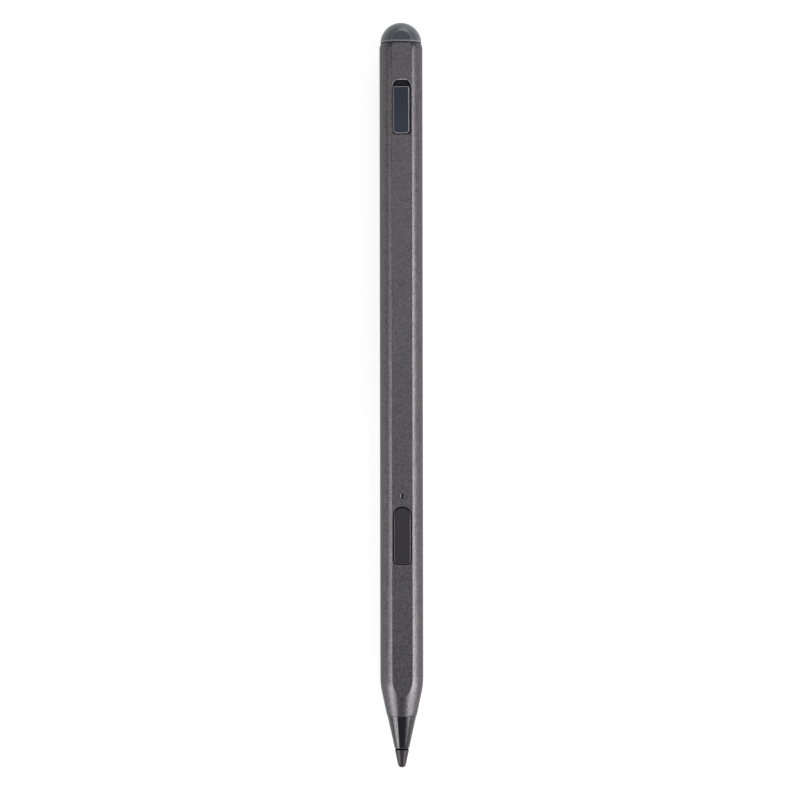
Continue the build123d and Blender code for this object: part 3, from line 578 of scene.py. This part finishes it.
class Finish:
    # the nodes of one material or world
    def __init__(self, owner):
        self.owner = owner
        owner.use_nodes = True
        self.tree = owner.node_tree
        self.tree.nodes.clear()
        self.where = self.node("ShaderNodeTexCoord", {}, {}, "Object")
        self.along, self.across, self.up = (
            self.node("ShaderNodeSeparateXYZ", {}, {0: self.where}, axis) for axis in "XYZ"
        )

    def node(self, kind, settings, sockets, output=0):
        made = self.tree.nodes.new(kind)
        for key, value in settings.items():
            setattr(made, key, value)
        for key, value in sockets.items():
            if isinstance(value, Wire):
                self.tree.links.new(value.socket, made.inputs[key])
            else:
                made.inputs[key].default_value = value
        return Wire(self, made.outputs[output]) if len(made.outputs) else None

    def noise(self, size, detail=2.0, where=None):
        # soft noise whose lumps are about the given size in millimetres
        sockets = {"Vector": where or self.where, "Scale": 1 / (size * mm), "Detail": detail}
        return self.node("ShaderNodeTexNoise", {}, sockets)

    def flakes(self, size):
        # one random number for each cell of about the given size in millimetres
        sockets = {"Vector": self.where, "Scale": 1 / (size * mm)}
        cells = self.node("ShaderNodeTexVoronoi", {}, sockets, "Color")
        return self.node("ShaderNodeSeparateColor", {}, {0: cells})

    def mix(self, factor, first, second):
        # the Mix node's colours are inputs 6 and 7 and output 2
        return self.node("ShaderNodeMix", {"data_type": "RGBA"}, {0: factor, 6: first, 7: second}, 2)

    def bump(self, height, depth):
        return self.node("ShaderNodeBump", {}, {"Height": height, "Distance": depth * mm})

    def station(self):
        return (self.along - tipX) / mm

    def level(self):
        return (self.up - axisZ) / mm

    def outside(self, start, end, width, tipCorner, tailCorner, shift=0.0):
        # millimetres outside a plan outline, less than 0 inside it: the distance from a rectangle with
        # rounded corners, whose corner radius differs between the tip half and the tail half
        fromMiddle = self.station() - (start + end) / 2
        corner = tipCorner + fromMiddle.above(0.0) * (tailCorner - tipCorner)
        lengthwise = fromMiddle.size() - (end - start) / 2 + corner
        crosswise = (self.across / mm - shift).size() - width / 2 + corner
        outX, outY = lengthwise.most(0.0), crosswise.most(0.0)
        return (outX * outX + outY * outY).root() + lengthwise.most(crosswise).least(0.0) - corner

    def lip(self, station, reach):
        # 1 at a station, falling to 0 over the reach behind it; a negative reach runs towards the tip
        return (1.0 - (self.station() - station) / reach).clip()

    def close(self, sockets):
        shader = self.node("ShaderNodeBsdfPrincipled", {}, sockets)
        self.node("ShaderNodeOutputMaterial", {}, {"Surface": shader})
        return self.owner


def tint(red, green, blue, share=1.0):
    # screen values from 0 to 255 as linear colour by the sRGB curve, made darker or lighter by the share
    screen = np.array((red, green, blue)) / 255
    linear = np.where(screen <= 0.04045, screen / 12.92, ((screen + 0.055) / 1.055)**2.4)
    return (*(linear * share).tolist(), 1.0)


# Barrel coat: dark grey metallic with fine flakes, cut through to bright metal at the port slot's tail edge,
# with painted shade, near black, on the slots' walls
barrelCoat = {
    "dark": (62, 60, 63), "light": (115, 111, 114), "flake": 0.15, "cloud": 2.5, "grain": 0.12,
    "flakeShare": 0.85, "rough": 0.36, "roughSpread": 0.12, "depth": 0.006, "grazing": 0.72,
    "bare": (205, 203, 205), "bareAmount": 0.6, "bareFull": 1.3, "bareFade": 0.3,
    "wall": (12, 12, 13), "wallAmount": 0.85, "wallDrop": 0.12, "wallFade": 0.1,
    "wallSide": 0.05, "wallStart": 30,
}


def barrelFinish():
    coat = Finish(bpy.data.materials.new("barrelCoat"))
    flake = coat.flakes(barrelCoat["flake"])
    cloud = coat.noise(barrelCoat["cloud"])
    grain = coat.noise(barrelCoat["grain"])
    share = barrelCoat["flakeShare"]
    blend = flake * share + cloud * (1 - share)
    colour = coat.mix(blend, tint(*barrelCoat["dark"]), tint(*barrelCoat["light"]))
    # the bare metal is strongest along the middle of the flare
    middle = portSlot["flare"] / 2
    offMiddle = (coat.outside(*plan(portSlot)) - middle).size()
    atTail = coat.lip(portSlot["end"] - portSlot["tailCorner"], -barrelCoat["bareFade"])
    bare = (barrelCoat["bareFull"] - offMiddle / middle).clip() * atTail
    colour = coat.mix(bare * barrelCoat["bareAmount"], colour, tint(*barrelCoat["bare"]))
    # painted shade: the slots' walls are painted near black where they lie in the dark: under the flat,
    # over the axis, no further out than a slot, behind the taper
    below = ((pen["flat"] - barrelCoat["wallDrop"] - coat.level()) / barrelCoat["wallFade"]).clip()
    farSide = buttonSlot["width"] / 2 + barrelCoat["wallSide"]
    within = (farSide - coat.across.size() / mm).above(0.0) * coat.station().above(barrelCoat["wallStart"])
    wall = below * coat.level().above(0.0) * within
    colour = coat.mix(wall * barrelCoat["wallAmount"], colour, tint(*barrelCoat["wall"]))
    grazing = barrelCoat["grazing"]
    return coat.close({
        "Base Color": colour,
        "Metallic": 1.0,
        "Specular Tint": (grazing, grazing, grazing, 1.0),
        "Roughness": barrelCoat["rough"] + (flake - 0.5) * barrelCoat["roughSpread"],
        "Normal": coat.bump((flake + grain) * 0.5, barrelCoat["depth"]),
    })


# What all plastics and all metals share
plastic = {
    "cloud": 3.0, "cloudShare": 0.6, "grain": 0.15, "spread": 0.12, "roughSpread": 0.1,
    "rubLeast": 0.75, "rubSpread": 0.5, "gapRough": 0.6,
}
metal = {"brush": 0.3, "stretch": 0.05, "detail": 3.0, "dull": 0.8, "roughSpread": 0.15, "depth": 0.002}


def plasticFinish(name, colour, rough, depth=0.003, gloss=0.5, bloom=0.0, rims=()):
    # moulded plastic: fine grain in its gloss and surface, faint clouding in its colour, and, where rims are
    # given, painted highlights on edges and painted shade, black without gloss, in gaps; bloom lightens it at
    # a slant
    finish = Finish(bpy.data.materials.new(name))
    cloud = finish.noise(plastic["cloud"])
    fine = finish.noise(plastic["grain"])
    share, spread = plastic["cloudShare"], plastic["spread"]
    blend = cloud * share + fine * (1 - share)
    shade = finish.mix(blend, tint(*colour, 1 - spread), tint(*colour, 1 + spread))
    paintedGapShade = 0.0
    # each rim mixes in a painted highlight or painted shade, broken up by noise; painted shade in a gap is
    # also made metallic black and rougher, so that it shows no gloss
    for rim in rims:
        rimBreakup = plastic["rubLeast"] + fine * plastic["rubSpread"]
        edge = (rim["mask"](finish, rim).clip() * rimBreakup * rim["amount"]).clip()
        shade = finish.mix(edge, shade, tint(*rim["colour"]))
        if rim.get("gap"):
            paintedGapShade, rough = paintedGapShade + edge, rough + edge * plastic["gapRough"]
    return finish.close({
        "Base Color": shade,
        "Metallic": paintedGapShade,
        "Specular IOR Level": gloss,
        "Sheen Weight": bloom,
        "Roughness": rough + (fine - 0.5) * plastic["roughSpread"],
        "Normal": finish.bump(fine, depth),
    })


def metalFinish(name, colour, rough):
    # plated or drawn metal: streaks along the pen, slight tarnish
    finish = Finish(bpy.data.materials.new(name))
    scale = (metal["stretch"], 1.0, 1.0)
    stretched = finish.node("ShaderNodeMapping", {}, {"Vector": finish.where, "Scale": scale})
    streak = finish.noise(metal["brush"], metal["detail"], stretched)
    return finish.close({
        "Base Color": finish.mix(streak, tint(*colour, metal["dull"]), tint(*colour)),
        "Metallic": 1.0,
        "Roughness": rough + (streak - 0.5) * metal["roughSpread"],
        "Normal": finish.bump(streak, metal["depth"]),
    })


# Rims: painted highlights on edges and painted shade in gaps. Each has a mask, the mask's sizes, how strongly
# it shows and its colour; a gap's painted shade is dark and dull
keyPlan = plan(buttonSlot, button["gap"])
lidPlan = (*plan(cover), cover["shift"])


def lidEdge(lid, rim):
    # painted highlight along the outline, fainter at the tail end
    near = (lid.outside(*lidPlan) / rim["width"] + rim["reach"]).clip()
    return near * (1.0 - rim["tailFade"] * lid.lip(cover["end"], -rim["tailReach"]))


def lidGap(lid, rim):
    # painted shade on the side walls, below the bevel
    below = ((cover["top"] - rim["drop"] - lid.level()) / rim["fade"]).clip()
    return below * (lid.outside(*lidPlan) / rim["width"] + rim["reach"])


def keyEdge(key, rim):
    # painted highlight along the outline, running out towards the tail and fainter at the tip
    start, end = keyPlan[:2]
    near = (key.outside(*keyPlan) / rim["width"] + rim["reach"]).clip()
    tail = 1.0 - key.lip(end, -rim["tailReach"])
    return near * tail * (1.0 - rim["tipFade"] * key.lip(start + rim["tipStart"], rim["tipReach"]))


def keyGap(key, rim):
    # painted shade on everything below the bevel
    return (button["top"] - rim["drop"] - key.level()) / rim["fade"]


def facetBand(dome, rim):
    # painted shade on the facet and a painted highlight round it: strongest at a drop below the facet's
    # leaning plane
    depth = facetHeight(dome.station()) - dome.level()
    return 1.0 - (depth - rim["drop"]).size() / rim["fade"]


def frontBand(piece, rim):
    # a band for painted highlights and painted shade: up to a station, then falling off
    return piece.lip(rim["station"], rim["fade"])


def neckGap(point, rim):
    # painted shade: from the shoulder to just inside the nose
    return point.lip(nibSize["length"], -rim["lead"]) * frontBand(point, rim)


# the cover: a painted highlight along its bevel, and painted shade, near black, on its side walls
coverRims = [
    {"mask": lidEdge, "width": 0.14, "reach": 1.5, "tailFade": 0.6, "tailReach": 0.35,
     "amount": 0.95, "colour": (148, 148, 155)},
    {"mask": lidGap, "drop": 0.25, "fade": 0.1, "width": 0.05, "reach": 1.5,
     "amount": 1.1, "colour": (8, 8, 10), "gap": True},
]
# the button: a painted highlight along its bevel, and painted shade, near black, on all below it
buttonRims = [
    {"mask": keyEdge, "width": 0.12, "reach": 1.4, "tailReach": 3.0, "tipFade": 0.7, "tipStart": 0.1,
     "tipReach": 0.4, "amount": 0.85, "colour": (122, 119, 122)},
    {"mask": keyGap, "drop": 0.2, "fade": 0.1, "amount": 1.3, "colour": (4, 4, 4), "gap": True},
]
# the tail cap: painted shade darkening the facet, a painted highlight round it, a painted highlight on the
# base lip, and painted shade, near black, on the base face
capRims = [
    {"mask": facetBand, "drop": 0.0, "fade": 0.05, "amount": 0.75, "colour": (41, 43, 56)},
    {"mask": facetBand, "drop": 0.1, "fade": 0.1, "amount": 0.25, "colour": (150, 150, 158)},
    {"mask": frontBand, "station": cap["base"] + 0.15, "fade": 0.2, "amount": 0.4, "colour": (170, 170, 176)},
    {"mask": frontBand, "station": cap["base"] + 0.02, "fade": 0.03,
     "amount": 1.3, "colour": (4, 4, 4), "gap": True},
]
# the nose: a faint painted highlight on its front lip
noseRims = [
    {"mask": frontBand, "station": nose["front"] + 0.1, "fade": 0.12,
     "amount": 0.13, "colour": (150, 150, 155)},
]
# the nib: painted shade, black and dull, on the neck in the nose's gap
nibRims = [
    {"mask": neckGap, "station": nose["front"] + 0.06, "fade": 0.05, "lead": 0.04,
     "amount": 1.3, "colour": (2, 2, 2), "gap": True},
]

finishes = {
    "barrel_finish": barrelFinish(),
    "nose_gloss": plasticFinish("noseGloss", (9, 9, 19), 0.12, depth=0.0006, gloss=0.65, rims=noseRims),
    "nib_plastic": plasticFinish("nibPlastic", (38, 33, 38), 0.3, depth=0.002, gloss=0.38, rims=nibRims),
    "cap_plastic": plasticFinish("capPlastic", (56, 57, 67), 0.42, depth=0.0015, bloom=0.3, rims=capRims),
    "button_plastic": plasticFinish(
        "buttonPlastic", (38, 34, 41), 0.3, depth=0.002, gloss=0.25, rims=buttonRims
    ),
    "cover_plastic": plasticFinish(
        "coverPlastic", (37, 42, 55), 0.42, depth=0.0015, gloss=0.25, rims=coverRims
    ),
    "clear_pipe": plasticFinish("smokedPipe", (28, 28, 32), 0.12, depth=0.0005),
    "brass_sleeve": metalFinish("brassSleeve", (196, 160, 92), 0.3),
    "natural_plastic": plasticFinish("naturalPlastic", (214, 210, 198), 0.45),
    "frame_plastic": plasticFinish("framePlastic", (24, 24, 26), 0.5),
    "bezel_plastic": plasticFinish("bezelPlastic", (34, 34, 48), 0.55, gloss=0.3),
    "steel_dark": metalFinish("steelDark", (52, 52, 54), 0.4),
    "steel_bright": metalFinish("steelBright", (190, 190, 192), 0.25),
    "nickel": metalFinish("nickel", (200, 198, 190), 0.22),
    "board_green": plasticFinish("boardGreen", (24, 74, 48), 0.35),
    "chip_black": plasticFinish("chipBlack", (28, 28, 29), 0.55),
    "cell_wrap": plasticFinish("cellWrap", (38, 70, 128), 0.3),
    "flex_film": plasticFinish("flexFilm", (170, 104, 36), 0.35),
}
print("finishes:", len(finishes))

buildBarrel(finishes["barrel_finish"])
buildNose(finishes["nose_gloss"])
buildNib(finishes["nib_plastic"])
buildCap(finishes["cap_plastic"])
buildButton(finishes["button_plastic"])
buildCover(finishes["cover_plastic"])
buildPipe(finishes["clear_pipe"])
buildSpring(finishes["steel_bright"])

# Inner pieces keep their solids and take a finish each
innerFinish = {
    "tilt_electrode": "brass_sleeve", "nib_plunger": "natural_plastic",
    "sensor_housing": "frame_plastic", "pressure_sensor": "nickel", "front_frame": "frame_plastic",
    "main_board": "board_green", "controller_chip": "chip_black", "radio_module": "chip_black",
    "side_switch": "chip_black", "side_switch_plunger": "natural_plastic", "indicator_led": "natural_plastic",
    "battery": "cell_wrap", "battery_tabs": "nickel", "holding_magnets": "nickel",
    "rear_frame": "frame_plastic", "flex_cable": "flex_film", "usb_board": "board_green",
    "usb_shell": "nickel", "usb_tongue": "chip_black", "port_bezel": "bezel_plastic",
    "cover_hinge_pin": "steel_dark", "tail_board": "board_green", "tail_switch": "chip_black",
    "tail_switch_plunger": "natural_plastic", "tail_bush": "frame_plastic", "tail_stem": "natural_plastic",
}
for nodeName, finishName in innerFinish.items():
    materials = frame["nodes"][nodeName].data.materials
    materials.clear()
    materials.append(finishes[finishName])
print("inner pieces:", len(innerFinish))

# Stage: pale floor, even room light, soft boxes above and at both ends, strips along both sides; in metres
# and watts, but for the camera's centre and offset in millimetres
stage = {"floorSize": 6.0, "floorColour": (0.35, 0.35, 0.35, 1.0), "floorGlow": 0.75, "roomLight": 0.25}
lamps = {
    "leftLowFar": {"side": 1, "elevation": 12, "along": -0.24, "power": 0.236},
    "leftLowTail": {"side": 1, "elevation": 12, "along": 0.10, "power": 0.016},
    "leftFar": {"side": 1, "elevation": 27, "along": -0.24, "power": 0.36, "width": 0.06},
    "leftNib": {"side": 1, "elevation": 28, "along": -0.07, "power": 0.17},
    "leftTail": {"side": 1, "elevation": 28, "along": 0.05, "power": 0.105},
    "leftHighFar": {"side": 1, "elevation": 42, "along": -0.24, "power": 0.314},
    "leftHighNib": {"side": 1, "elevation": 42, "along": -0.07, "power": 0.16},
    "rightLowFar": {"side": -1, "elevation": 12, "along": -0.18, "power": 0.327},
    "rightFar": {"side": -1, "elevation": 28, "along": -0.206, "power": 0.35},
    "rightNib": {"side": -1, "elevation": 28, "along": -0.06, "power": 0.36},
    "rightTail": {"side": -1, "elevation": 28, "along": 0.04, "power": 0.52},
    "rightHighFar": {"side": -1, "elevation": 42, "along": -0.21, "power": 0.43},
    "rightTopFar": {"side": -1, "elevation": 56, "along": -0.21, "power": 0.17},
}
boxLamps = {
    "above": {"at": (0.0, 0.0, 0.9), "size": 0.25, "power": 0.296},
    "aboveTail": {"at": (0.19, 0.0, 0.75), "size": 0.2, "power": 0.25},
    "tailEnd": {"at": (0.6, -0.12, 0.18), "size": 0.34, "power": 1.75},
    "nibEnd": {"at": (-0.5, 0.0, 0.2), "size": 0.2, "power": 0.4},
}
strip = {"reach": 0.4, "length": 0.16, "width": 0.08}
camera = {
    "distance": 0.575, "lens": 117.1, "sensor": 36.0, "nearest": 0.01,
    "centre": 81.2, "offset": 0.32, "turn": -90, "roll": -0.085, "sideLean": 2.1,
}


def buildFloor():
    # a matt sheet that shows a little brighter to the camera, in a gloss and through clear plastic
    half = stage["floorSize"] / 2
    corners = [(-half, -half, 0), (half, -half, 0), (half, half, 0), (-half, half, 0)]
    mesh = bpy.data.meshes.new("floor")
    mesh.from_pydata(corners, [], [(0, 1, 2, 3)])
    floor = bpy.data.objects.new("floor", mesh)
    bpy.context.scene.collection.objects.link(floor)
    paper = Finish(bpy.data.materials.new("floorPaper"))
    rays = ("Is Camera Ray", "Is Glossy Ray", "Is Transmission Ray")
    direct, glossy, clear = (paper.node("ShaderNodeLightPath", {}, {}, ray) for ray in rays)
    seen = direct.most(glossy).most(clear)
    matt = paper.node("ShaderNodeBsdfDiffuse", {}, {"Color": stage["floorColour"]})
    glow = paper.node("ShaderNodeEmission", {}, {"Strength": stage["floorGlow"]})
    both = paper.node("ShaderNodeAddShader", {}, {0: matt, 1: glow})
    shown = paper.node("ShaderNodeMixShader", {}, {0: seen, 1: matt, 2: both})
    paper.node("ShaderNodeOutputMaterial", {}, {"Surface": shown})
    mesh.materials.append(paper.owner)


def buildRoom():
    # even light all round
    room = Finish(bpy.data.worlds.new("room"))
    light = room.node("ShaderNodeBackground", {}, {"Color": (1, 1, 1, 1), "Strength": stage["roomLight"]})
    room.node("ShaderNodeOutputWorld", {}, {"Surface": light})
    bpy.context.scene.world = room.owner


def addLamp(name, at, aim, size, power):
    light = bpy.data.lights.new(name, "AREA")
    light.shape = "RECTANGLE"
    light.size, light.size_y = size
    light.energy = power
    holder = bpy.data.objects.new(name, light)
    holder.location = at
    towards = mathutils.Vector(aim) - holder.location
    holder.rotation_euler = towards.to_track_quat("-Z", "Y").to_euler()
    bpy.context.scene.collection.objects.link(holder)


def buildLamps():
    # strips lie along the pen at their elevation; boxes hang above it and stand off its ends
    for name, lamp in lamps.items():
        along, lift = lamp["along"], math.radians(lamp["elevation"])
        at = (along, lamp["side"] * strip["reach"] * math.cos(lift), strip["reach"] * math.sin(lift))
        size = (strip["length"], lamp.get("width", strip["width"]))
        addLamp(name, at, (along, 0, axisZ), size, lamp["power"])
    for name, lamp in boxLamps.items():
        addLamp(name, lamp["at"], (0, 0, axisZ), (lamp["size"], lamp["size"]), lamp["power"])


def buildCamera():
    # above the flat, leaning a little to the pen's left, with the tail at the top of the picture
    eye = bpy.data.cameras.new("eye")
    eye.lens = camera["lens"]
    eye.sensor_width = camera["sensor"]
    eye.clip_start = camera["nearest"]
    holder = bpy.data.objects.new("eye", eye)
    lean = math.radians(camera["sideLean"])
    holder.location = (
        tipX + camera["centre"] * mm,
        camera["distance"] * math.sin(lean) + camera["offset"] * mm,
        axisZ + camera["distance"] * math.cos(lean),
    )
    holder.rotation_mode = "ZYX"
    holder.rotation_euler = (-lean, 0, math.radians(camera["turn"] + camera["roll"]))
    bpy.context.scene.collection.objects.link(holder)
    bpy.context.scene.camera = holder


buildFloor()
buildRoom()
buildLamps()
buildCamera()
bpy.context.scene.view_settings.view_transform = "Standard"
print("stage:", len(lamps) + len(boxLamps), "lamps")
